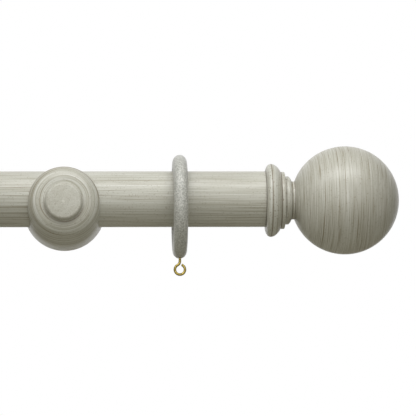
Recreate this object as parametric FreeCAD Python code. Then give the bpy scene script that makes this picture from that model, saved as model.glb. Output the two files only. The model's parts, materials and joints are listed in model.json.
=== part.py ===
"""Turned wooden curtain pole set: a pole with two ball finials, two cup brackets and a run of rings.

Millimetres. +X runs along the pole, -Y points into the room and +Z is up. The origin lies on the wall, midway
between the two brackets and level with their own axes. Left is -X and right is +X.
"""
import FreeCAD, Part
import math
import os

Vector = FreeCAD.Vector

# ---- Driving dimensions -------------------------------------------------------------------------------------------
POLE_D = 50.0  # outside diameter of the pole
POLE_LENGTH = 1200.0  # between the two finial flanges
POLE_EDGE = 0.6  # chamfer on the pole's two ends
WALL_TO_POLE = 90.0  # wall face to the pole's axis
POLE_RISE = 5.9  # the pole's axis lies this far above the bracket's axis
BRACKET_INSET = 180.0  # pole end to the bracket's axis

# Cup: the bell-shaped head of a bracket, open at the top
SEAT_GAP = 0.3  # between the pole and its seat
CUP_WALL = 11.7  # wood outside the pole's radius, where the bell is widest
CUP_BARREL_BACK = 31.0  # its straight, widest part begins this far behind the pole's axis
CUP_BARREL_FRONT = 8.5  # and ends this far behind it
CUP_SHOULDER = 26.0  # where the bell starts to close, in front of the pole's axis
CUP_SHOULDER_DROP = 5.5  # how much smaller its radius is there
FRONT_WALL = 9.7  # wood between the seat and the button
BACK_WALL = 22.7  # wood between the seat and the stem
BACK_LIP_DROP = 5.0  # the back wall stops this far below the top of the pole

BUTTON_D = 32.5  # button on the front of the cup
BUTTON_T = 6.0  # its height at the rim
BUTTON_CROWN = 1.2  # how far its face swells past the rim
BUTTON_ROUND = 2.6  # round on its rim
BUTTON_FLARE = 1.0  # how far its foot spreads
BUTTON_LAND = 1.6  # flat of the cup left round that foot
BUTTON_DROP = 1.3  # its centre lies this far below the bracket's axis
SPIGOT_D = 12.0  # peg under the button
SPIGOT_LENGTH = 6.0

STEM_D = 27.0  # waist of the stem
STEM_CUP_D = 37.0  # stem where it meets the cup
STEM_ROSE_D = 39.0  # stem where it meets the rose
STEM_BEAD = 3.0  # straight band at each end
STEM_LAND = 3.5  # flat of the cup and of the rose left round the stem

ROSE_T = 16.0  # wooden rose against the wall
ROSE_WALL = 5.4  # wood round the plate's recess
ROSE_RIM = 6.0  # wall to the end of its straight edge
ROSE_EDGE = 1.0  # round on the edge at the wall

PLATE_D = 46.0  # steel wall plate inside the rose
PLATE_T = 3.0
PLATE_GAP = 0.3  # plate to the rose's recess, all round
SCREW_HOLE_D = 5.2  # two holes for wall screws
SCREW_SINK_D = 10.0  # countersink of each
SCREW_SPACING = 30.0  # between them, one above the other

STUD_D = 8.0  # threaded stud that ties plate, rose, stem and cup together
STUD_CLEARANCE = 0.2  # radial, in wood
THREAD_CLEARANCE = 0.05  # radial, in metal
INSERT_WALL = 1.95  # threaded insert in the back of the cup
INSERT_LENGTH = 12.0

LOCK_SHANK_D = 4.0  # screw that locks the pole in its seat, from behind and below
LOCK_TILT = 45.0  # it leans this many degrees from upright, its head towards the wall
LOCK_HEAD_D = 8.0
LOCK_HEAD_T = 2.4
LOCK_SLOT_W = 1.2
LOCK_SLOT_DEPTH = 1.1
LOCK_TIP_GAP = 0.5  # tip of the backed-off screw to the seat
LOCK_SINK = 1.6  # its head lies this far inside the cup

# Finial, measured outwards from the end of the pole
FINIAL_DROP = 1.2  # its axis lies this far below the pole's
FLANGE_STAND = 7.7  # how far the flange stands out past the pole
FLANGE_T = 13.3
FLANGE_LIP = 2.0  # flat of the flange round the pole
FLANGE_CREST = 4.7  # distance out to its widest ring
FLANGE_SHOULDER = 8.3  # distance out to where it starts to fall away
FLANGE_SHOULDER_DROP = 1.1  # how much smaller its radius is there
FACE_HEADING = 88.0  # direction, in degrees, in which the rim's round leaves the flat
LIP_SHARE = 0.3  # how far along the flange's rim its tighter first round ends
NECK_D = 34.2
NECK_T = 2.7
STEP_1_T = 3.6
STEP_1_RISE = 4.0  # step 1's radius over step 2's
STEP_2_T = 3.4
STEP_2_RISE = 4.5  # step 2's radius over the neck's
STEP_ROUND = 0.8
NECK_SHOULDER = 2.9  # length of the round between step 2 and the neck
SHOULDER_RISE = 0.5  # how far that round swells
BALL_D = 97.0
PEG_D = 20.0  # push-fit peg between finial and pole
PEG_IN_POLE = 30.0
PEG_IN_COLLAR = 11.0
DOWEL_D = 12.0  # glued dowel between collar and ball
DOWEL_IN_COLLAR = 11.0
DOWEL_IN_BALL = 26.0
GLUE_GAP = 0.05  # radial, around glued pegs and dowels
PUSH_GAP = 0.05  # radial, around the push-fit peg
HOLE_DEPTH_SPARE = 1.0  # blind holes are this much deeper than what they hold

# Ring and its screw eye
RING_SLACK = 14.3  # ring's inner diameter over the pole's
RING_THICKNESS = 14.3  # across the wood, between inner and outer radius
RING_WIDTH = 12.7  # along the pole
RING_HANG_GAP = 0.3  # between the top of the pole and the ring that hangs on it
END_RING_INSET = 77.0  # pole end to the ring outside each bracket
MIDDLE_RINGS = 10  # rings between the brackets
MIDDLE_RING_INSET = 78.0  # bracket's axis to the first of them

EYE_WIRE_D = 2.4
EYE_LOOP_D = 11.4  # outside diameter of the loop
EYE_NECK = 4.4  # bare shank between the ring and the loop
EYE_SHANK = 9.0  # length screwed into the ring
EYE_GAP_ANGLE = 24.0  # the wire stops this many degrees short of a full turn
EYE_CLEARANCE = 0.05  # radial, around the shank

# ---- Sizes and places worked out from them ------------------------------------------------------------------------
POLE_AXIS = Vector(0, -WALL_TO_POLE, POLE_RISE)
FINIAL_AXIS = POLE_AXIS - Vector(0, 0, FINIAL_DROP)
POLE_R = POLE_D / 2
SEAT_R = POLE_R + SEAT_GAP
BRACKET_X = POLE_LENGTH / 2 - BRACKET_INSET
CUP_R = POLE_R + CUP_WALL
CUP_FRONT = WALL_TO_POLE + SEAT_R + FRONT_WALL
CUP_BACK = WALL_TO_POLE - SEAT_R - BACK_WALL
BUTTON_FOOT_R = BUTTON_D / 2 + BUTTON_FLARE
ROSE_R = PLATE_D / 2 + PLATE_GAP + ROSE_WALL
INSERT_D = STUD_D + 2 * THREAD_CLEARANCE + 2 * INSERT_WALL
LOCK_OUTWARD = Vector(0, math.sin(math.radians(LOCK_TILT)), -math.cos(math.radians(LOCK_TILT)))

FLANGE_R = POLE_R + FLANGE_STAND
NECK_R = NECK_D / 2
STEP_2_R = NECK_R + STEP_2_RISE
STEP_1_R = STEP_2_R + STEP_1_RISE
STEP_1_END = FLANGE_T + STEP_1_T
STEP_2_END = STEP_1_END + STEP_2_T
NECK_START = STEP_2_END + NECK_SHOULDER
NECK_END = NECK_START + NECK_T
BALL_R = BALL_D / 2
BALL_CENTRE = NECK_END + math.sqrt(BALL_R**2 - NECK_R**2)

RING_INNER_R = (POLE_D + RING_SLACK) / 2
RING_OUTER_R = RING_INNER_R + RING_THICKNESS
RING_Z = POLE_RISE + POLE_R + RING_HANG_GAP - RING_INNER_R
END_RING_X = POLE_LENGTH / 2 - END_RING_INSET
RING_PITCH = 2 * (BRACKET_X - MIDDLE_RING_INSET) / (MIDDLE_RINGS - 1)
SIDES = (("left", -1), ("right", 1))


# ---- Helpers ------------------------------------------------------------------------------------------------------
def outline(start, *moves):
    """Closed face in the XY plane. A move is a point for a line, or two points for an arc through the first."""
    edges = []
    here = Vector(*start, 0)
    for move in moves:
        if isinstance(move[0], tuple):
            middle, end = (Vector(*point, 0) for point in move)
            edges.append(Part.Arc(here, middle, end).toShape())
        else:
            end = Vector(*move, 0)
            edges.append(Part.LineSegment(here, end).toShape())
        here = end
    edges.append(Part.LineSegment(here, Vector(*start, 0)).toShape())
    return Part.Face(Part.Wire(edges))


def turned(start, *moves):
    """Solid turned about X from an outline of (distance along the axis, radius) points."""
    return outline(start, *moves).revolve(Vector(0, 0, 0), Vector(1, 0, 0), 360)


def rod(diameter, begin, end):
    """Round bar about X from begin to end."""
    return Part.makeCylinder(diameter / 2, end - begin, Vector(begin, 0, 0), Vector(1, 0, 0))


def bulge(first, last, rise):
    """Middle point of an arc between two points, pushed sideways by rise (left of the direction of travel)."""
    length = math.hypot(last[0] - first[0], last[1] - first[1])
    across = (-(last[1] - first[1]) / length, (last[0] - first[0]) / length)
    return ((first[0] + last[0]) / 2 + across[0] * rise, (first[1] + last[1]) / 2 + across[1] * rise)


def flow(start, heading, *points):
    """Arcs through the points, each tangent to the one before. The first leaves start at heading degrees."""
    moves = []
    here = start
    angle = math.radians(heading)
    for point in points:
        run = math.hypot(point[0] - here[0], point[1] - here[1])
        half_turn = math.atan2(point[1] - here[1], point[0] - here[0]) - angle
        half_turn = (half_turn + math.pi) % (2 * math.pi) - math.pi
        moves.append((bulge(here, point, -run / 2 * math.tan(half_turn / 2)), point))
        angle += 2 * half_turn
        here = point
    return moves


def reversed_flow(start, heading, *points):
    """The same arcs as flow, travelled from the last point back to start."""
    stops = [start] + list(points)
    middles = [move[0] for move in flow(start, heading, *points)]
    return [(middle, stop) for middle, stop in zip(reversed(middles), reversed(stops[:-1]))]


def edge_round(corner, heading, radius):
    """Quarter round of a convex edge: the path comes in along heading degrees and leaves 90 degrees to the right."""
    angle = math.radians(heading)
    ahead = (math.cos(angle), math.sin(angle))
    right = (ahead[1], -ahead[0])
    first = (corner[0] - ahead[0] * radius, corner[1] - ahead[1] * radius)
    last = (corner[0] + right[0] * radius, corner[1] + right[1] * radius)
    return [first] + flow(first, heading, last)


def onto_pole_end(shape, side):
    """Puts a piece made along +X from 0 onto the left (-1) or right (+1) end of the pole."""
    placed = shape.copy()
    if side < 0:
        placed.rotate(Vector(0, 0, 0), Vector(0, 0, 1), 180)
    placed.translate(FINIAL_AXIS + Vector(side * POLE_LENGTH / 2, 0, 0))
    return placed


def onto_wall(shape, x):
    """Puts a piece made along +X from 0 against the wall at x, pointing into the room."""
    placed = shape.copy()
    placed.rotate(Vector(0, 0, 0), Vector(0, 0, 1), -90)
    placed.translate(Vector(x, 0, 0))
    return placed


def onto_lock_line(shape, x, start):
    """Puts a piece made along +X from 0 on the lock screw's line, start out from the pole's axis and facing it."""
    placed = shape.copy()
    placed.rotate(Vector(0, 0, 0), Vector(0, 1, 0), -90)
    placed.rotate(Vector(0, 0, 0), Vector(1, 0, 0), LOCK_TILT)
    placed.translate(POLE_AXIS + Vector(x, 0, 0) + LOCK_OUTWARD * start)
    return placed


def save(name, shape):
    """Writes one sub-part and prints its volume."""
    solids = shape.Solids
    body = solids[0] if len(solids) == 1 else Part.makeCompound(solids)
    body.exportStep("parts/" + name + ".step")
    print(name, len(solids), "solid(s)", round(body.Volume, 1), "mm3", "valid" if body.isValid() else "INVALID")


# ---- Pole ---------------------------------------------------------------------------------------------------------
def pole():
    """Round pole with a blind bore in each end for the finial's peg."""
    half = POLE_LENGTH / 2
    bar = turned(
        (-half, 0),
        (-half, POLE_R - POLE_EDGE),
        (-half + POLE_EDGE, POLE_R),
        (half - POLE_EDGE, POLE_R),
        (half, POLE_R - POLE_EDGE),
        (half, 0),
    )
    bar.translate(POLE_AXIS)
    depth = PEG_IN_POLE + HOLE_DEPTH_SPARE
    for begin in (-half, half - depth):
        bore = rod(PEG_D + 2 * PUSH_GAP, begin, begin + depth)
        bore.translate(FINIAL_AXIS)
        bar = bar.cut(bore)
    return bar


# ---- Finial -------------------------------------------------------------------------------------------------------
def finial_collar():
    """Flange, two steps and a neck, bored for the peg on the pole's side and for the dowel on the ball's."""
    face = (0, POLE_R + FLANGE_LIP)
    crest = (FLANGE_CREST, FLANGE_R)
    lip = (FLANGE_CREST * LIP_SHARE, FLANGE_R - (FLANGE_R - face[1]) * LIP_SHARE)
    fall = (FLANGE_SHOULDER, FLANGE_R - FLANGE_SHOULDER_DROP)
    shoulder = (STEP_2_END, STEP_2_R)
    neck = (NECK_START, NECK_R)
    wood = turned(
        (0, 0),
        face,
        *flow(face, FACE_HEADING, lip, crest),
        *flow(crest, 0, fall, (FLANGE_T, STEP_1_R)),
        *edge_round((STEP_1_END, STEP_1_R), 0, STEP_ROUND),
        (STEP_1_END, STEP_2_R),
        shoulder,
        (bulge(shoulder, neck, SHOULDER_RISE), neck),
        (NECK_END, NECK_R),
        (NECK_END, 0),
    )
    peg_depth = PEG_IN_COLLAR + HOLE_DEPTH_SPARE
    wood = wood.cut(rod(PEG_D + 2 * GLUE_GAP, 0, peg_depth))
    return wood.cut(rod(DOWEL_D + 2 * GLUE_GAP, peg_depth, NECK_END))


def finial_ball():
    """Ball with a flat where it meets the neck and a blind hole for the dowel."""
    ball = Part.makeSphere(BALL_R, Vector(BALL_CENTRE, 0, 0), Vector(1, 0, 0))
    ball = ball.cut(rod(BALL_D, NECK_END - BALL_D, NECK_END))
    return ball.cut(rod(DOWEL_D + 2 * GLUE_GAP, NECK_END, NECK_END + DOWEL_IN_BALL + HOLE_DEPTH_SPARE))


def finial_peg():
    """Beech peg: glued in the collar, pushed into the pole."""
    return rod(PEG_D, -PEG_IN_POLE, PEG_IN_COLLAR)


def finial_dowel():
    """Dowel glued into collar and ball."""
    return rod(DOWEL_D, NECK_END - DOWEL_IN_COLLAR, NECK_END + DOWEL_IN_BALL)


# ---- Bracket, measured outwards from the wall ---------------------------------------------------------------------
def wall_plate():
    """Steel disc with two countersunk holes, one above the other, and a hole for the stud."""
    disc = rod(PLATE_D, 0, PLATE_T).cut(rod(STUD_D + 2 * THREAD_CLEARANCE, 0, PLATE_T))
    hole_r = SCREW_HOLE_D / 2
    sink_r = SCREW_SINK_D / 2
    sink_depth = sink_r - hole_r
    for z in (-SCREW_SPACING / 2, SCREW_SPACING / 2):
        hole = Part.makeCylinder(hole_r, PLATE_T, Vector(0, 0, z), Vector(1, 0, 0))
        mouth = Vector(PLATE_T - sink_depth, 0, z)
        sink = Part.makeCone(hole_r, sink_r, sink_depth, mouth, Vector(1, 0, 0))
        disc = disc.cut(hole).cut(sink)
    return disc


def stud():
    """Threaded stud, plain to its full diameter."""
    return rod(STUD_D, THREAD_CLEARANCE, CUP_BACK + INSERT_LENGTH - HOLE_DEPTH_SPARE)


def rose():
    """Wooden rose that hides the plate."""
    rim = (ROSE_RIM, ROSE_R)
    front = (ROSE_T, STEM_ROSE_D / 2 + STEM_LAND)
    wood = turned(
        (0, 0),
        *edge_round((0, ROSE_R), 90, ROSE_EDGE),
        rim,
        *flow(rim, 0, front),
        (ROSE_T, 0),
    )
    recess = rod(PLATE_D + 2 * PLATE_GAP, 0, PLATE_T + PLATE_GAP)
    return wood.cut(recess).cut(rod(STUD_D + 2 * STUD_CLEARANCE, 0, ROSE_T))


def stem():
    """Hollow-waisted stem between rose and cup."""
    wood = turned(
        (ROSE_T, 0),
        (ROSE_T, STEM_ROSE_D / 2),
        (ROSE_T + STEM_BEAD, STEM_ROSE_D / 2),
        (((ROSE_T + CUP_BACK) / 2, STEM_D / 2), (CUP_BACK - STEM_BEAD, STEM_CUP_D / 2)),
        (CUP_BACK, STEM_CUP_D / 2),
        (CUP_BACK, 0),
    )
    return wood.cut(rod(STUD_D + 2 * STUD_CLEARANCE, ROSE_T, CUP_BACK))


def bell():
    """The cup before it is cut out for the pole, with holes for the insert and the button's spigot."""
    back = (CUP_BACK, STEM_CUP_D / 2 + STEM_LAND)
    barrel_back = (WALL_TO_POLE - CUP_BARREL_BACK, CUP_R)
    barrel_front = (WALL_TO_POLE - CUP_BARREL_FRONT, CUP_R)
    shoulder = (WALL_TO_POLE + CUP_SHOULDER, CUP_R - CUP_SHOULDER_DROP)
    front = (CUP_FRONT, BUTTON_FOOT_R + BUTTON_LAND)
    wood = turned(
        (CUP_FRONT, 0),
        front,
        *reversed_flow(barrel_front, 0, shoulder, front),
        barrel_back,
        *flow(barrel_back, 180, back),
        (CUP_BACK, 0),
    )
    insert_end = CUP_BACK + INSERT_LENGTH + HOLE_DEPTH_SPARE / 2
    spigot_begin = CUP_FRONT - SPIGOT_LENGTH - HOLE_DEPTH_SPARE / 2
    spigot_hole = rod(SPIGOT_D + 2 * GLUE_GAP, spigot_begin, CUP_FRONT)
    spigot_hole.translate(Vector(0, 0, -BUTTON_DROP))
    return wood.cut(rod(INSERT_D + 2 * GLUE_GAP, CUP_BACK, insert_end)).cut(spigot_hole)


def seat_cutter(x):
    """Space that the pole drops through: a round seat, open upwards, and the lower back lip."""
    reach = 4 * CUP_R
    low = Vector(x - reach / 2, -WALL_TO_POLE, POLE_RISE)
    seat = Part.makeCylinder(SEAT_R, reach, low, Vector(1, 0, 0))
    mouth = Part.makeBox(reach, 2 * SEAT_R, reach, low - Vector(0, SEAT_R, 0))
    behind = Part.makeBox(reach, reach, reach, low + Vector(0, 0, POLE_R - BACK_LIP_DROP))
    return seat.fuse(mouth).fuse(behind)


def lock_hole(depth):
    """Hole for the lock screw, from the cup's surface at 0 along +X into the seat."""
    head_d = LOCK_HEAD_D + 2 * STUD_CLEARANCE
    shank_d = LOCK_SHANK_D + 2 * STUD_CLEARANCE
    along = Vector(1, 0, 0)
    pocket = rod(head_d, -head_d, LOCK_SINK)
    sink = Part.makeCone(head_d / 2, shank_d / 2, LOCK_HEAD_T, Vector(LOCK_SINK, 0, 0), along)
    return rod(shank_d, 0, depth + SEAT_R).fuse(pocket).fuse(sink)


def lock_screw(depth):
    """Slotted countersunk screw along +X, backed off so that its tip stays short of the seat."""
    shank_r = LOCK_SHANK_D / 2
    tip = depth - LOCK_TIP_GAP - shank_r
    along = Vector(1, 0, 0)
    head = Part.makeCone(LOCK_HEAD_D / 2, shank_r, LOCK_HEAD_T, Vector(LOCK_SINK, 0, 0), along)
    point = Part.makeCone(shank_r, 0, shank_r, Vector(tip, 0, 0), along)
    corner = Vector(LOCK_SINK, -LOCK_SLOT_W / 2, -LOCK_HEAD_D / 2)
    slot = Part.makeBox(LOCK_SLOT_DEPTH, LOCK_SLOT_W, LOCK_HEAD_D, corner)
    return head.fuse(rod(LOCK_SHANK_D, LOCK_SINK, tip)).fuse(point).cut(slot).removeSplitter()


def cup_and_lock_screw(x):
    """The finished cup at x and the screw in its underside."""
    whole = onto_wall(bell(), x)
    axis = POLE_AXIS + Vector(x, 0, 0)
    line = Part.LineSegment(axis, axis + LOCK_OUTWARD * 4 * CUP_R).toShape()
    surface = whole.common(line).Length
    depth = surface - SEAT_R
    hole = onto_lock_line(lock_hole(depth), x, surface)
    screw = onto_lock_line(lock_screw(depth), x, surface)
    return whole.cut(seat_cutter(x)).cut(hole), screw


def button():
    """Turned button on the front of the cup, with a spigot."""
    rim_end = CUP_FRONT + BUTTON_T
    r = BUTTON_D / 2
    foot = (CUP_FRONT, BUTTON_FOOT_R)
    side = (CUP_FRONT + 2 * BUTTON_FLARE, r)
    wood = turned(
        (CUP_FRONT, 0),
        foot,
        *reversed_flow(side, 180, foot),
        *edge_round((rim_end, r), 0, BUTTON_ROUND),
        *reversed_flow((rim_end + BUTTON_CROWN, 0), 90, (rim_end, r - BUTTON_ROUND)),
    )
    wood = wood.fuse(rod(SPIGOT_D, CUP_FRONT - SPIGOT_LENGTH, CUP_FRONT)).removeSplitter()
    wood.translate(Vector(0, 0, -BUTTON_DROP))
    return wood


def insert():
    """Threaded insert in the back of the cup."""
    tube = rod(INSERT_D, CUP_BACK, CUP_BACK + INSERT_LENGTH)
    return tube.cut(rod(STUD_D + 2 * THREAD_CLEARANCE, CUP_BACK, CUP_BACK + INSERT_LENGTH))


# ---- Ring ---------------------------------------------------------------------------------------------------------
def ring(x):
    """Wooden ring of oval section, with a pilot hole for the screw eye at its lowest point."""
    middle = Vector(0, (RING_INNER_R + RING_OUTER_R) / 2, 0)
    oval = Part.Ellipse(Vector(0, RING_OUTER_R, 0), middle + Vector(RING_WIDTH / 2, 0, 0), middle)
    section = Part.Face(Part.Wire(oval.toShape()))
    hoop = section.revolve(Vector(0, 0, 0), Vector(1, 0, 0), 360)
    bottom = Vector(0, 0, -RING_OUTER_R)
    depth = EYE_SHANK + HOLE_DEPTH_SPARE / 2
    hoop = hoop.cut(Part.makeCylinder(EYE_WIRE_D / 2 + EYE_CLEARANCE, depth, bottom, Vector(0, 0, 1)))
    hoop.translate(Vector(x, -WALL_TO_POLE, RING_Z))
    return hoop


def screw_eye(x):
    """Brass eye: a shank in the ring and a loop of the same wire that faces the room."""
    wire_r = EYE_WIRE_D / 2
    loop_r = (EYE_LOOP_D - EYE_WIRE_D) / 2
    down = Vector(0, 0, -1)
    bottom = Vector(0, 0, -RING_OUTER_R)
    shank = Part.makeCylinder(wire_r, EYE_SHANK + EYE_NECK + wire_r, bottom - down * EYE_SHANK, down)
    centre = bottom + down * (EYE_NECK + wire_r + loop_r)
    section = Part.Face(Part.Wire(Part.Circle(centre - down * loop_r, Vector(1, 0, 0), wire_r).toShape()))
    loop = section.revolve(centre, Vector(0, -1, 0), 360 - EYE_GAP_ANGLE)
    eye = shank.fuse(loop).removeSplitter()
    eye.translate(Vector(x, -WALL_TO_POLE, RING_Z))
    return eye


# ---- Build --------------------------------------------------------------------------------------------------------
os.makedirs("parts", exist_ok=True)
save("pole", pole())

for side_name, sign in SIDES:
    finial = "finial_" + side_name
    for piece in (finial_collar, finial_ball, finial_peg, finial_dowel):
        name = piece.__name__.replace("finial", finial)
        save(name, onto_pole_end(piece(), sign))

    bracket = "bracket_" + side_name
    place = sign * BRACKET_X
    cup, screw = cup_and_lock_screw(place)
    save(bracket + "_cup", cup)
    save(bracket + "_lock_screw", screw)
    for piece in (button, stem, rose, wall_plate, stud, insert):
        save(bracket + "_" + piece.__name__, onto_wall(piece(), place))

ring_places = [(i - (MIDDLE_RINGS - 1) / 2) * RING_PITCH for i in range(MIDDLE_RINGS)]
ring_places = [-END_RING_X] + ring_places + [END_RING_X]
for number, place in enumerate(ring_places, start=1):
    save("ring_%02d" % number, ring(place))
    save("ring_%02d_eye" % number, screw_eye(place))
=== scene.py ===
# %% [markdown]
# A curtain pole set in painted wood: a round pole lies in two cup brackets, carries twelve rings with
# brass screw eyes, and ends in two ball finials. The exact shapes come from the CAD model, which is
# loaded as a fixed frame. What is left to do here is the finish of every surface, the bent wire of the
# screw eyes, the light and the camera.

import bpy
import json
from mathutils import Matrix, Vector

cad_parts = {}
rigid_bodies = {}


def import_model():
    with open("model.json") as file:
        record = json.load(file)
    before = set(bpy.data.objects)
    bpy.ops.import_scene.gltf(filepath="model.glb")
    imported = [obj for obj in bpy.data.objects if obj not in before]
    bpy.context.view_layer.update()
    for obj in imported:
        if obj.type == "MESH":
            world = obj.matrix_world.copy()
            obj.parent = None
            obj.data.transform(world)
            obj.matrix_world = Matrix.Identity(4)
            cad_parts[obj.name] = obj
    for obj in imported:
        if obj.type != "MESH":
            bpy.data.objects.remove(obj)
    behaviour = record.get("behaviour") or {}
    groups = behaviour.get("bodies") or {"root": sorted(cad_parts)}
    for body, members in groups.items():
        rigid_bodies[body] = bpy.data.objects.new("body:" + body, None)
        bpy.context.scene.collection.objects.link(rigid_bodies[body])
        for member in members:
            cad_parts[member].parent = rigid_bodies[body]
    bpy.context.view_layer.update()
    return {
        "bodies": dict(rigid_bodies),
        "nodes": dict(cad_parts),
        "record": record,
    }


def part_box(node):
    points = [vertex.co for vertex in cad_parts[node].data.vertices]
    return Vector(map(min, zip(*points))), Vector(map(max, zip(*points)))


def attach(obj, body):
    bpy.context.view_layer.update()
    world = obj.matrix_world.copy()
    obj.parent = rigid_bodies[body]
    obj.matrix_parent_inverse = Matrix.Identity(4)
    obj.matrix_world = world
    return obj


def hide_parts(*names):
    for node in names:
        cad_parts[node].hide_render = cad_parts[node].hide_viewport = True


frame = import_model()

import json
import math

import bmesh
import bpy
from mathutils import Matrix, Quaternion, Vector

MM = 0.001
nodes = frame["nodes"]

# %% [markdown]
# Lengths are in metres, and MM turns millimetres into them. The axes and ends that the finishes, the
# light and the camera need are read from the CAD boxes. A ball gives the axis on which the finials were
# turned, and a stem gives the axis on which its bracket was turned. Left and right are mirror images, so
# one distance from the middle serves for both.

# %% Read the axes and the ends
pole_low, pole_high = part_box("pole")
pole_middle = (pole_low + pole_high) / 2
pole_radius = (pole_high.z - pole_low.z) / 2
stem_low, stem_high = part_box("bracket_right_stem")
bracket_axis = Vector(((stem_low.x + stem_high.x) / 2, 0, (stem_low.z + stem_high.z) / 2))
cup_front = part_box("bracket_right_cup")[0].y
button_low, button_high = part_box("bracket_right_button")
button_z = (button_low.z + button_high.z) / 2
button_radius = (button_high.z - button_low.z) / 2
ball_low, ball_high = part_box("finial_right_ball")
ball_radius = (ball_high.z - ball_low.z) / 2
ball_middle = (ball_low + ball_high) / 2
ball_middle.x = ball_high.x - ball_radius  # its side towards the pole has a flat
finial_start = Vector((pole_high.x, ball_middle.y, ball_middle.z))
print("pole radius", round(pole_radius / MM, 1), "mm, bracket at", round(bracket_axis.x / MM, 1), "mm")

# %% [markdown]
# The camera is a long lens far away, so the pole's edges stay almost parallel. It looks at the right-hand
# end from a little below and a little to the left. Blender's camera looks along its own -Z with +Y up, so
# a tracking quaternion aims it, and a second turn, about its own axis, tips it by less than a degree.

# %% Camera
AIM_FROM_END = 51.58 * MM
AIM_BELOW_AXIS = 8.01 * MM
CAMERA_DISTANCE = 2.2
CAMERA_AZIMUTH = math.radians(-2.59)
CAMERA_ELEVATION = math.radians(-8.0)
CAMERA_ROLL = math.radians(-0.407)
FOCAL_LENGTH = 212.8  # in mm, on a 36 mm wide sensor

aim = Vector((pole_high.x - AIM_FROM_END, pole_middle.y, pole_middle.z - AIM_BELOW_AXIS))
towards_camera = Vector(
    (
        math.sin(CAMERA_AZIMUTH) * math.cos(CAMERA_ELEVATION),
        -math.cos(CAMERA_AZIMUTH) * math.cos(CAMERA_ELEVATION),
        math.sin(CAMERA_ELEVATION),
    )
)
lens = bpy.data.cameras.new("long_lens")
lens.sensor_width = 36.0
lens.lens = FOCAL_LENGTH
lens.clip_start, lens.clip_end = 0.05, 100.0
camera = bpy.data.objects.new("camera", lens)
bpy.context.scene.collection.objects.link(camera)
camera.location = aim + towards_camera * CAMERA_DISTANCE
camera.rotation_mode = "QUATERNION"
level = Quaternion((0, 0, 1), CAMERA_ROLL)
camera.rotation_quaternion = (-towards_camera).to_track_quat("-Z", "Y") @ level
bpy.context.scene.camera = camera
bpy.context.scene.view_settings.view_transform = "Standard"
print("camera at", [round(c, 3) for c in camera.location])

# %% [markdown]
# Colours are picked as sRGB hex values, as in a paint chart, but shaders compute with linear light. One
# function turns the first into the second. A second one adds a node, sets its properties and fills or
# links its inputs. The other two are the two things that this script does most with nodes: to pick out a
# range of a value, softly, and to lay one colour over another by that amount.

# %% Colour and node helpers
def linear(paint):
    """Linear RGBA of an sRGB hex colour such as "#B8B7A9"."""
    channels = [int(paint[i : i + 2], 16) / 255 for i in (1, 3, 5)]
    return [c / 12.92 if c <= 0.04045 else ((c + 0.055) / 1.055) ** 2.4 for c in channels] + [1.0]


def add_node(tree, kind, settings=None, inputs=None):
    """Adds a node. inputs maps an input's name or number to a value or to another node's output."""
    node = tree.nodes.new(kind)
    for name, value in (settings or {}).items():
        setattr(node, name, value)
    for name, value in (inputs or {}).items():
        if isinstance(value, bpy.types.NodeSocket):
            tree.links.new(value, node.inputs[name])
        else:
            node.inputs[name].default_value = value
    return node


def band(tree, value, low, high, amount):
    """A number that eases from 0 to amount while value goes from low to high."""
    ranged = add_node(
        tree,
        "ShaderNodeMapRange",
        {"interpolation_type": "SMOOTHSTEP"},
        {"Value": value, "From Min": low, "From Max": high, "To Max": amount},
    )
    return ranged.outputs[0]


def over(tree, factor, under, top):
    """Colour top laid over colour under by factor. A colour mix has these at its sockets 0, 6 and 7."""
    mix = add_node(tree, "ShaderNodeMix", {"data_type": "RGBA"}, {0: factor, 6: under, 7: top})
    return mix.outputs[2]


# %% [markdown]
# The room is a photographer's: a white sweep behind the object, a pale reflector behind the camera, a
# grey screen far out on the left and a dark one on the right. They are all the world itself, picked by
# the direction in which a ray leaves. White straight behind the pole gives its edges a thin rim of light,
# and the darker sides let the ball and the rings turn away into shade. The camera sees it all as plain
# white.

# %% World
ROOM_LIGHT = "#BCBCBA"
REFLECTOR_LIGHT = "#E4E4E2"
SWEEP_LIGHT = "#FFFFFF"
LEFT_LIGHT = "#8C8C8A"
RIGHT_LIGHT = "#2A2A28"

world = bpy.data.worlds.new("studio_sweep")
bpy.context.scene.world = world
world.use_nodes = True
sky = world.node_tree
sky.nodes.clear()
direction = add_node(sky, "ShaderNodeTexCoord").outputs["Generated"]
leaving = add_node(sky, "ShaderNodeSeparateXYZ", inputs={0: direction})
screens = (  # the axis it lies on, where it begins and where it is full, and its colour
    ("Y", -0.4, -0.85, REFLECTOR_LIGHT),
    ("Y", 0.35, 0.95, SWEEP_LIGHT),
    ("X", -0.5, -0.95, LEFT_LIGHT),
    ("X", 0.45, 0.95, RIGHT_LIGHT),
)
light = linear(ROOM_LIGHT)
for axis, begins, full, paint in screens:
    light = over(sky, band(sky, leaving.outputs[axis], begins, full, 1.0), light, linear(paint))
lighting = add_node(sky, "ShaderNodeBackground", inputs={"Color": light, "Strength": 1.0})
backdrop = add_node(sky, "ShaderNodeBackground", inputs={"Color": (1, 1, 1, 1), "Strength": 1.0})
ray = add_node(sky, "ShaderNodeLightPath")
seen = add_node(
    sky,
    "ShaderNodeMixShader",
    inputs={0: ray.outputs["Is Camera Ray"], 1: lighting.outputs[0], 2: backdrop.outputs[0]},
)
add_node(sky, "ShaderNodeOutputWorld", inputs={"Surface": seen.outputs[0]})

# %% [markdown]
# Three softboxes add the shine. The key hangs above and in front of the near end. It is long and lies
# along the pole, so the pole gets one bright line and the ball a broad soft patch. A weak one stands
# level in front. A second key hangs over the far end, so that the whole set is lit, and from the near end
# it fills in from the left.

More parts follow.
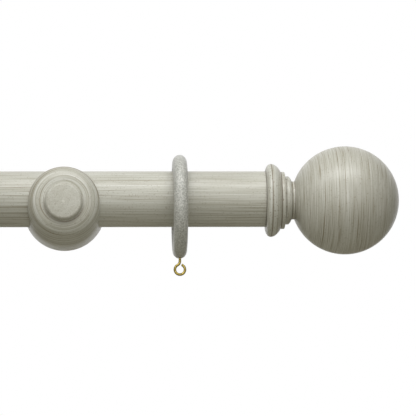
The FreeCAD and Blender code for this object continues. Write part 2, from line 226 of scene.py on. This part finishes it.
# %% Softboxes
def softbox(name, target, distance, height, size, watts):
    """A rectangular area light that faces target from the room, height degrees up. size is in metres."""
    light = bpy.data.lights.new(name, "AREA")
    light.shape = "RECTANGLE"
    light.size, light.size_y = size
    light.energy = watts
    lamp = bpy.data.objects.new(name, light)
    up = math.radians(height)
    away = Vector((0, -math.cos(up), math.sin(up)))
    lamp.location = target + away * distance
    lamp.rotation_mode = "QUATERNION"
    lamp.rotation_quaternion = (-away).to_track_quat("-Z", "Y")
    lamp.visible_camera = False
    bpy.context.scene.collection.objects.link(lamp)


near_end = Vector((pole_high.x - 20 * MM, pole_middle.y, pole_middle.z))
far_end = Vector((pole_low.x + 100 * MM, pole_middle.y, pole_middle.z))
key_size = (1.0, 0.36)
softbox("key_softbox", near_end, distance=0.8, height=53.0, size=key_size, watts=4.9)
softbox("front_softbox", near_end, distance=0.5, height=0.0, size=(0.4, 0.3), watts=0.35)
softbox("far_end_softbox", far_end, distance=0.8, height=52.0, size=key_size, watts=3.2)

# %% [markdown]
# The floor is warm grey and lies far below the set, where no shadow shows: it is there to light the
# undersides. It ends some metres behind the set, where the white sweep takes over.

# %% Floor
FLOOR_DROP = 1.25
FLOOR_HALF = 20.0
FLOOR_ENDS = 8.0  # behind the wall's face
FLOOR_GREY = "#BAB6A6"
floor_mesh = bpy.data.meshes.new("floor")
sheet = bmesh.new()
bmesh.ops.create_grid(sheet, x_segments=1, y_segments=1, size=FLOOR_HALF)
bmesh.ops.translate(sheet, verts=sheet.verts, vec=(0, FLOOR_ENDS - FLOOR_HALF, pole_middle.z - FLOOR_DROP))
sheet.to_mesh(floor_mesh)
sheet.free()
floor = bpy.data.objects.new("floor", floor_mesh)
bpy.context.scene.collection.objects.link(floor)
matt = bpy.data.materials.new("warm_grey_floor")
matt.use_nodes = True
matt_shader = matt.node_tree.nodes["Principled BSDF"]
matt_shader.inputs["Base Color"].default_value = linear(FLOOR_GREY)
matt_shader.inputs["Roughness"].default_value = 0.9
floor_mesh.materials.append(matt)

# %% [markdown]
# Dragged paint: a pale stone-grey coat is drawn over a darker undercoat with a dry brush. The bristles
# leave fine lines along the brush's path, so the pattern must follow that path: along the pole, and round
# the turning axis on the finials and brackets. Stretched noise makes the lines. On turned work it is fed
# with the distance along the axis, the distance from the axis, and a slow cosine and sine of the angle,
# so that it closes on itself. A second output, the profile, holds the first two of these alone: a fixed
# spot in it is a whole circle round the turning.

# %% Coordinates for brushed work
BRUSH_RATIO = 55.0  # round a turning, a bristle's line is this much longer than it is wide
POLE_BRUSH_RATIO = 100.0  # and along the pole


def new_finish(name):
    """A material with an empty tree, its shader and its output."""
    material = bpy.data.materials.new(name)
    material.use_nodes = True
    tree = material.node_tree
    tree.nodes.clear()
    shader = add_node(tree, "ShaderNodeBsdfPrincipled")
    add_node(tree, "ShaderNodeOutputMaterial", inputs={"Surface": shader.outputs[0]})
    return material, tree, shader


def along_the_pole(tree):
    """Coordinates stretched along X, in metres."""
    place = add_node(tree, "ShaderNodeTexCoord").outputs["Object"]
    squeeze = (1 / POLE_BRUSH_RATIO, 1, 1)
    stretched = add_node(tree, "ShaderNodeMapping", inputs={"Vector": place, "Scale": squeeze})
    return {"place": place, "vector": stretched.outputs[0], "w": 0.0}


def round_an_axis(tree, start, axis, reach, lean=0.0):
    """Coordinates that run round an axis through start, mirrored left to right.

    reach is a typical radius in metres. lean turns the brush's path, in degrees, about the upright line
    through start, as when the brush isn't held quite square.
    """
    place = add_node(tree, "ShaderNodeTexCoord").outputs["Object"]
    parts = add_node(tree, "ShaderNodeSeparateXYZ", inputs={0: place})
    side = add_node(tree, "ShaderNodeMath", {"operation": "ABSOLUTE"}, {0: parts.outputs["X"]})
    mirrored = add_node(
        tree,
        "ShaderNodeCombineXYZ",
        inputs={"X": side.outputs[0], "Y": parts.outputs["Y"], "Z": parts.outputs["Z"]},
    )
    turned = add_node(
        tree,
        "ShaderNodeVectorRotate",
        {"rotation_type": "Z_AXIS"},
        {"Vector": mirrored.outputs[0], "Center": tuple(start), "Angle": math.radians(-lean)},
    )
    from_start = add_node(
        tree, "ShaderNodeVectorMath", {"operation": "SUBTRACT"}, {0: turned.outputs[0], 1: tuple(start)}
    )
    across = add_node(
        tree,
        "ShaderNodeVectorMath",
        {"operation": "MULTIPLY"},
        {0: from_start.outputs[0], 1: (0, 1, 1) if axis == "X" else (1, 0, 1)},
    )
    radius = add_node(tree, "ShaderNodeVectorMath", {"operation": "LENGTH"}, {0: across.outputs[0]})
    unit = add_node(tree, "ShaderNodeVectorMath", {"operation": "NORMALIZE"}, {0: across.outputs[0]})
    slow = add_node(
        tree,
        "ShaderNodeVectorMath",
        {"operation": "SCALE"},
        {0: unit.outputs[0], "Scale": reach / BRUSH_RATIO},
    )
    lengths = add_node(tree, "ShaderNodeSeparateXYZ", inputs={0: from_start.outputs[0]})
    turns = add_node(tree, "ShaderNodeSeparateXYZ", inputs={0: slow.outputs[0]})
    along = lengths.outputs[axis]
    vector = add_node(
        tree,
        "ShaderNodeCombineXYZ",
        inputs={"X": along, "Y": radius.outputs["Value"], "Z": turns.outputs["Y" if axis == "X" else "X"]},
    )
    profile = add_node(tree, "ShaderNodeCombineXYZ", inputs={"X": along, "Y": radius.outputs["Value"]})
    return {
        "place": place,
        "vector": vector.outputs[0],
        "w": turns.outputs["Z"],
        "profile": profile.outputs[0],
    }


# %% [markdown]
# The coat has four layers, each at its own scale: broad soft bands where the brush was loaded unevenly, the
# bristle lines, thin brown lines where the undercoat shows, and a few specks. Real bristle lines are about
# 0.3 mm apart, too fine to show here, so they are drawn 0.6 to 1 mm wide. Where a turned piece has a groove,
# brown glaze was wiped into it and stayed, and the crease is also painted darker as shade, so a soft dark
# line follows each groove's circle.
# Satin varnish covers it all.

# %% Paint
COAT = "#BDBDB3"
COAT_PALE = "#CBCBC4"
COAT_DEEP = "#B6B5AA"
COAT_DARK = "#A09D8E"
UNDERCOAT = "#837A66"
# Dark brown for the glaze in the grooves, also used for the painted shade in the creases and under the
# buttons.
GLAZE_AND_SHADE = "#5E4F38"
LOADING = 7 * MM  # width of the bands from an unevenly loaded brush
SPECK = 1.3 * MM
VARNISH_ROUGHNESS = 0.34
VARNISH_IOR = 1.5
SCRATCH = 1.4  # an undercoat line is this many times as wide as a bristle line
# How dark the glaze lines and the painted shade go at their darkest.
GLAZE_AND_SHADE_STRENGTH = 0.75
BRUSH_RELIEF = 0.06 * MM


def brushed_noise(tree, where, width):
    """Noise in brushed coordinates whose lines are about width metres wide."""
    noise = add_node(
        tree,
        "ShaderNodeTexNoise",
        {"noise_dimensions": "4D"},
        {"Vector": where["vector"], "W": where["w"], "Scale": 1 / width, "Detail": 2.0, "Roughness": 0.6},
    )
    return noise.outputs[0]


def from_circle(tree, where, along, radius):
    """Distance from the circle at along and radius round the turning axis."""
    gap = add_node(
        tree, "ShaderNodeVectorMath", {"operation": "DISTANCE"}, {0: where["profile"], 1: (along, radius, 0)}
    )
    return gap.outputs["Value"]


def dragged_coat(tree, where, line, contrast=1.0, speckle=0.5, grooves=()):
    """Colour and height of the dragged paint.

    line is a bristle line's width. grooves are circles of brown glaze and painted shade, as (along, radius,
    width), which fade out width away from the circle.
    """
    broad = brushed_noise(tree, where, LOADING)
    bristle = brushed_noise(tree, where, line)
    scratch = brushed_noise(tree, where, SCRATCH * line)
    colour = over(tree, band(tree, broad, 0.38, 0.62, 1.0), linear(COAT_DEEP), linear(COAT))
    colour = over(tree, band(tree, bristle, 0.5, 0.68, 0.6 * contrast), colour, linear(COAT_PALE))
    colour = over(tree, band(tree, bristle, 0.5, 0.34, 0.6 * contrast), colour, linear(COAT_DARK))
    colour = over(tree, band(tree, scratch, 0.54, 0.68, 0.6 * contrast), colour, linear(UNDERCOAT))
    specks = add_node(
        tree, "ShaderNodeTexNoise", inputs={"Vector": where["place"], "Scale": 1 / SPECK, "Detail": 1.0}
    )
    colour = over(tree, band(tree, specks.outputs[0], 0.6, 0.75, speckle), colour, linear(UNDERCOAT))
    # Each groove's circle gets a soft dark line: brown glaze, and painted shade where the crease lies in
    # shade.
    for along, radius, width in grooves:
        gap = from_circle(tree, where, along, radius)
        colour = over(tree, band(tree, gap, width, width * 0.2, GLAZE_AND_SHADE_STRENGTH), colour, linear(GLAZE_AND_SHADE))
    return colour, bristle


def finish_coat(tree, shader, colour, height, depth):
    """Satin varnish over the paint: colour, a faint relief depth metres deep, and an even gloss."""
    relief = add_node(tree, "ShaderNodeBump", inputs={"Height": height, "Distance": depth, "Strength": 0.6})
    tree.links.new(colour, shader.inputs["Base Color"])
    tree.links.new(relief.outputs[0], shader.inputs["Normal"])
    shader.inputs["Roughness"].default_value = VARNISH_ROUGHNESS
    shader.inputs["IOR"].default_value = VARNISH_IOR


# %% [markdown]
# The pole's lines run along it. The ball was painted as it turned, with a brush that wasn't quite square
# to it, and it let more of the undercoat through, so its tone is a little browner.

# %% Paint on the pole and the balls
BALL_WASH = 0.13  # share of undercoat colour laid over the ball

pole_paint, tree, shader = new_finish("dragged_paint_along_the_pole")
colour, height = dragged_coat(tree, along_the_pole(tree), line=0.75 * MM, contrast=1.25)
finish_coat(tree, shader, colour, height, BRUSH_RELIEF)

ball_paint, tree, shader = new_finish("dragged_paint_round_the_ball")
where = round_an_axis(tree, ball_middle, "X", reach=40 * MM, lean=1.0)
colour, height = dragged_coat(tree, where, line=0.6 * MM, contrast=1.45)
colour = over(tree, BALL_WASH, colour, linear(UNDERCOAT))
finish_coat(tree, shader, colour, height, BRUSH_RELIEF)

# %% [markdown]
# A collar is all grooves and steps, so glaze and painted shade lie in its corners and along the crest of its
# flange. It has more specks than the rest. Each circle is given by its distance from the pole's end, its
# radius and how far the glaze and painted shade spread from it.

# %% Paint on the collars
collar_paint, tree, shader = new_finish("speckled_paint_round_the_collar")
where = round_an_axis(tree, finial_start, "X", reach=25 * MM)
# Circles of glaze and painted shade in the collar's corners and along its flange's crest.
collar_grooves = [
    (0.0, 25.2 * MM, 1.1 * MM),
    (4.7 * MM, 33.0 * MM, 0.9 * MM),
    (13.3 * MM, 25.6 * MM, 1.2 * MM),
    (16.9 * MM, 21.6 * MM, 1.1 * MM),
    (23.2 * MM, 17.2 * MM, 1.1 * MM),
    (25.9 * MM, 17.1 * MM, 1.0 * MM),
]
colour, height = dragged_coat(tree, where, line=0.8 * MM, speckle=1.0, grooves=collar_grooves)
finish_coat(tree, shader, colour, height, BRUSH_RELIEF)

# %% [markdown]
# A painted shadow in dark glaze brown lies under each button: a soft dark crescent hugs the lower half of
# the button's foot, where the button's shade falls on the bracket. It is the distance from the foot's
# circle, multiplied by a fade from above to below. The button's own face is too small to drag round, so it
# was stippled: the same coat, with even, finer and fainter noise.

# %% Paint on the brackets
# The painted shadow under each button: how far it spreads from the button's foot, and where it fades in from
# above to full below.
BUTTON_SHADOW_WIDTH = 3.0 * MM
BUTTON_SHADOW_FADES_ABOVE = 6 * MM  # over the button's middle
BUTTON_SHADOW_FULL_BELOW = 12 * MM  # under it
BUTTON_WASH = 0.1  # share of undercoat colour laid over the button

bracket_paint, tree, shader = new_finish("dragged_paint_round_the_bracket")
where = round_an_axis(tree, bracket_axis, "Y", reach=25 * MM)
colour, height = dragged_coat(tree, where, line=1.0 * MM, contrast=1.6)
round_button = round_an_axis(tree, (bracket_axis.x, 0, button_z), "Y", reach=25 * MM)
gap = from_circle(tree, round_button, cup_front, button_radius - 0.5 * MM)
parts = add_node(tree, "ShaderNodeSeparateXYZ", inputs={0: round_button["place"]})
# Painted shadow: darkens the bracket in a crescent below the button's foot, where the button's shade falls.
painted_button_shadow = add_node(
    tree,
    "ShaderNodeMath",
    {"operation": "MULTIPLY"},
    {
        0: band(tree, gap, BUTTON_SHADOW_WIDTH, 0.2 * MM, GLAZE_AND_SHADE_STRENGTH),
        1: band(tree, parts.outputs["Z"], button_z + BUTTON_SHADOW_FADES_ABOVE, button_z - BUTTON_SHADOW_FULL_BELOW, 1.0),
    },
)
colour = over(tree, painted_button_shadow.outputs[0], colour, linear(GLAZE_AND_SHADE))
finish_coat(tree, shader, colour, height, BRUSH_RELIEF)

button_paint, tree, shader = new_finish("stippled_paint_on_the_buttons")
place = add_node(tree, "ShaderNodeTexCoord").outputs["Object"]
stippled = {"place": place, "vector": place, "w": 0.0}
colour, height = dragged_coat(tree, stippled, line=0.8 * MM, contrast=0.7, speckle=0.3)
colour = over(tree, BUTTON_WASH, colour, linear(UNDERCOAT))
finish_coat(tree, shader, colour, height, BRUSH_RELIEF / 2)

# %% [markdown]
# The rings are too small to drag a brush along. Their grey is dabbed on with a sponge over the dark
# undercoat, which leaves an even, fine speckle of pale and dark dots. Two plain noises of the dots' size
# make it.

# %% Sponged paint on the rings
SPONGE_GREY = "#90918A"
SPONGE_PALE = "#C6C6C0"
SPONGE_DARK = "#62625A"
DAB = 1.2 * MM
DOT = 0.8 * MM
SPONGE_RELIEF = 0.05 * MM

ring_paint, tree, shader = new_finish("sponged_paint_on_the_rings")
place = add_node(tree, "ShaderNodeTexCoord").outputs["Object"]
dabs = add_node(tree, "ShaderNodeTexNoise", inputs={"Vector": place, "Scale": 1 / DAB, "Detail": 3.0})
dots = add_node(tree, "ShaderNodeTexNoise", inputs={"Vector": place, "Scale": 1 / DOT, "Detail": 1.0})
colour = over(tree, band(tree, dabs.outputs[0], 0.3, 0.7, 1.0), linear(SPONGE_GREY), linear(SPONGE_PALE))
colour = over(tree, band(tree, dots.outputs[0], 0.6, 0.75, 0.7), colour, linear(SPONGE_DARK))
finish_coat(tree, shader, colour, dabs.outputs[0], SPONGE_RELIEF)

# %% [markdown]
# The small metal parts come next. Brass-plated wire is smooth and bright, with a warm yellow reflection.
# The steel of plates, studs and lock screws is zinc-plated: a grey metal, duller, with a faint mottle
# from the bath. The threaded inserts are plain turned brass.

# %% Metals
def mottled_metal(name, bright, dull, roughness, mottle):
    """A metal that drifts from bright and smooth to dull and rough, in patches of mottle metres."""
    material, tree, shader = new_finish(name)
    place = add_node(tree, "ShaderNodeTexCoord").outputs["Object"]
    patches = add_node(
        tree, "ShaderNodeTexNoise", inputs={"Vector": place, "Scale": 1 / mottle, "Detail": 2.0}
    )
    colour = over(tree, band(tree, patches.outputs[0], 0.35, 0.65, 1.0), linear(bright), linear(dull))
    tree.links.new(colour, shader.inputs["Base Color"])
    tree.links.new(band(tree, patches.outputs[0], 0.3, 0.7, roughness), shader.inputs["Roughness"])
    shader.inputs["Metallic"].default_value = 1.0
    return material


brass_wire = mottled_metal("brass_plated_wire", "#BEAB60", "#9A8846", 0.35, 1.5 * MM)
zinc_plate = mottled_metal("zinc_plated_steel_plate", "#C4C6C8", "#A9ACAE", 0.5, 3 * MM)
zinc_stud = mottled_metal("zinc_plated_threaded_rod", "#B9BBBE", "#9C9EA0", 0.5, 2 * MM)
turned_brass = mottled_metal("turned_brass_insert", "#CDAE66", "#B79550", 0.4, 2 * MM)
lock_steel = mottled_metal("zinc_plated_lock_screw", "#B4B2A8", "#96948C", 0.5, 1 * MM)

# %% [markdown]
# Pegs and dowels are bare beech: a pale pinkish tan with short darker flecks along the grain, and no
# varnish.

# %% Beech
BEECH_PALE = "#D9B48A"
BEECH_DEEP = "#C79C70"
BEECH_FLECK = "#96683F"
GRAIN_SQUEEZE = 0.08  # draws the pattern out along X, the grain's direction
FLECK = 0.7 * MM
GROWTH = 4 * MM  # between growth rings

beech, tree, shader = new_finish("bare_beech")
place = add_node(tree, "ShaderNodeTexCoord").outputs["Object"]
squeezed = add_node(tree, "ShaderNodeMapping", inputs={"Vector": place, "Scale": (GRAIN_SQUEEZE, 1, 1)})
grain = squeezed.outputs[0]
flecks = add_node(tree, "ShaderNodeTexNoise", inputs={"Vector": grain, "Scale": 1 / FLECK, "Detail": 2.0})
growth = add_node(tree, "ShaderNodeTexNoise", inputs={"Vector": grain, "Scale": 1 / GROWTH, "Detail": 2.0})
colour = over(tree, band(tree, growth.outputs[0], 0.35, 0.65, 1.0), linear(BEECH_PALE), linear(BEECH_DEEP))
colour = over(tree, band(tree, flecks.outputs[0], 0.58, 0.7, 0.6), colour, linear(BEECH_FLECK))
tree.links.new(colour, shader.inputs["Base Color"])
shader.inputs["Roughness"].default_value = 0.62

# %% [markdown]
# Every node gets the finish of its material slot, apart from the balls and the buttons, which share a
# slot with the collars and the cups but were painted in their own way.

# %% Give every CAD node its finish
finishes = {
    "pole_paint": pole_paint,
    "finial_paint": collar_paint,
    "bracket_paint": bracket_paint,
    "ring_paint": ring_paint,
    "beech": beech,
    "brass_eye": brass_wire,
    "plate_steel": zinc_plate,
    "stud_steel": zinc_stud,
    "insert_brass": turned_brass,
    "lock_steel": lock_steel,
}
slot_of = {part["node"]: part["material_slot"] for part in frame["record"]["subparts"]}
finish_of = {name: finishes[slot] for name, slot in slot_of.items()}
for side in ("left", "right"):
    finish_of["finial_" + side + "_ball"] = ball_paint
    finish_of["bracket_" + side + "_button"] = button_paint
for name, node in nodes.items():
    for slot in node.material_slots:
        slot.material = finish_of[name]
print("finishes given to", len(nodes), "nodes")

# %% [markdown]
# A real screw eye is one bent wire. It starts at a cut end close to the neck, runs right round the loop,
# then curves the other way until it points straight up, and ends in a thread inside the ring. Spinning
# one wire section about two centres makes it. The reverse curve has to be tangent to the loop and to the
# neck, which fixes its radius. With the loop's radius R and the angle a at which the wire leaves it,
# r = -R cos(a) / (1 + cos(a)), and both centres lie on one line through the loop's middle. The thread is
# the same section drawn upwards, narrower and wider in turn.

# %% Bent-wire screw eyes
WIRE_START = math.radians(72.0)
WIRE_LEAVES = math.radians(118.0)
THREAD_PITCH = 1.0 * MM
THREAD_DEPTH = 0.3 * MM
WIRE_SIDES = 12
LOOP_STEPS = 40
BEND_STEPS = 8
CUT_EDGE = 0.4 * MM  # round on the cut end


def bent_wire(wire_radius, loop_radius, neck_top, thread_top):
    """A screw eye round the origin, facing -Y, with its shank on +Z up to thread_top."""
    eye = bmesh.new()
    at_start = Matrix.Rotation(-WIRE_START, 4, "Y") @ Matrix.Translation((loop_radius, 0, 0))
    bmesh.ops.create_circle(eye, cap_ends=True, radius=wire_radius, segments=WIRE_SIDES, matrix=at_start)
    end_edges = list(eye.edges)
    round_loop = 2 * math.pi + WIRE_START - WIRE_LEAVES
    spun = bmesh.ops.spin(
        eye,
        geom=end_edges,
        cent=(0, 0, 0),
        axis=(0, 1, 0),
        dvec=(0, 0, 0),
        angle=round_loop,
        steps=LOOP_STEPS,
    )
    bend_radius = -loop_radius * math.cos(WIRE_LEAVES) / (1 + math.cos(WIRE_LEAVES))
    reach = loop_radius + bend_radius
    bend_middle = (reach * math.cos(WIRE_LEAVES), 0, reach * math.sin(WIRE_LEAVES))
    section = [part for part in spun["geom_last"] if isinstance(part, bmesh.types.BMEdge)]
    spun = bmesh.ops.spin(
        eye,
        geom=section,
        cent=bend_middle,
        axis=(0, -1, 0),
        dvec=(0, 0, 0),
        angle=math.pi - WIRE_LEAVES,
        steps=BEND_STEPS,
    )
    section = [part for part in spun["geom_last"] if isinstance(part, bmesh.types.BMEdge)]
    height = bend_middle[2]
    stations = [(neck_top - THREAD_PITCH, wire_radius)]
    while stations[-1][0] < thread_top - 2 * THREAD_PITCH:
        last = stations[-1][0]
        stations.append((last + THREAD_PITCH / 2, wire_radius - THREAD_DEPTH))
        stations.append((last + THREAD_PITCH, wire_radius))
    stations.append((thread_top, wire_radius / 4))
    radius = wire_radius
    for next_height, next_radius in stations:
        grown = bmesh.ops.extrude_edge_only(eye, edges=section)["geom"]
        section = [part for part in grown if isinstance(part, bmesh.types.BMEdge)]
        rim = [part for part in grown if isinstance(part, bmesh.types.BMVert)]
        bmesh.ops.translate(eye, verts=rim, vec=(0, 0, next_height - height))
        bmesh.ops.scale(eye, verts=rim, vec=(next_radius / radius, next_radius / radius, 1))
        height, radius = next_height, next_radius
    bmesh.ops.holes_fill(eye, edges=section)
    bmesh.ops.bevel(
        eye, geom=end_edges, offset=CUT_EDGE, segments=2, affect="EDGES", profile=0.5, material=-1
    )
    bmesh.ops.recalc_face_normals(eye, faces=eye.faces)
    for face in eye.faces:
        face.smooth = True
    return eye


for ring in [name for name in frame["bodies"] if name.startswith("ring_")]:
    eye_low, eye_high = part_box(ring + "_eye")
    ring_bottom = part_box(ring)[0].z
    wire_radius = (eye_high.y - eye_low.y) / 2
    loop_radius = (eye_high.x - eye_low.x) / 2 - wire_radius
    loop_middle = (eye_low + eye_high) / 2
    loop_middle.z = eye_low.z + loop_radius + wire_radius
    wire = bent_wire(wire_radius, loop_radius, ring_bottom - loop_middle.z, eye_high.z - loop_middle.z)
    mesh = bpy.data.meshes.new(ring + "_bent_wire_eye")
    bmesh.ops.translate(wire, verts=wire.verts, vec=loop_middle)
    wire.to_mesh(mesh)
    wire.free()
    mesh.materials.append(brass_wire)
    screw_eye = bpy.data.objects.new(ring + "_bent_wire_eye", mesh)
    bpy.context.scene.collection.objects.link(screw_eye)
    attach(screw_eye, ring)
    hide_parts(ring + "_eye")
print("screw eyes bent from wire of radius", round(wire_radius / MM, 2), "mm")
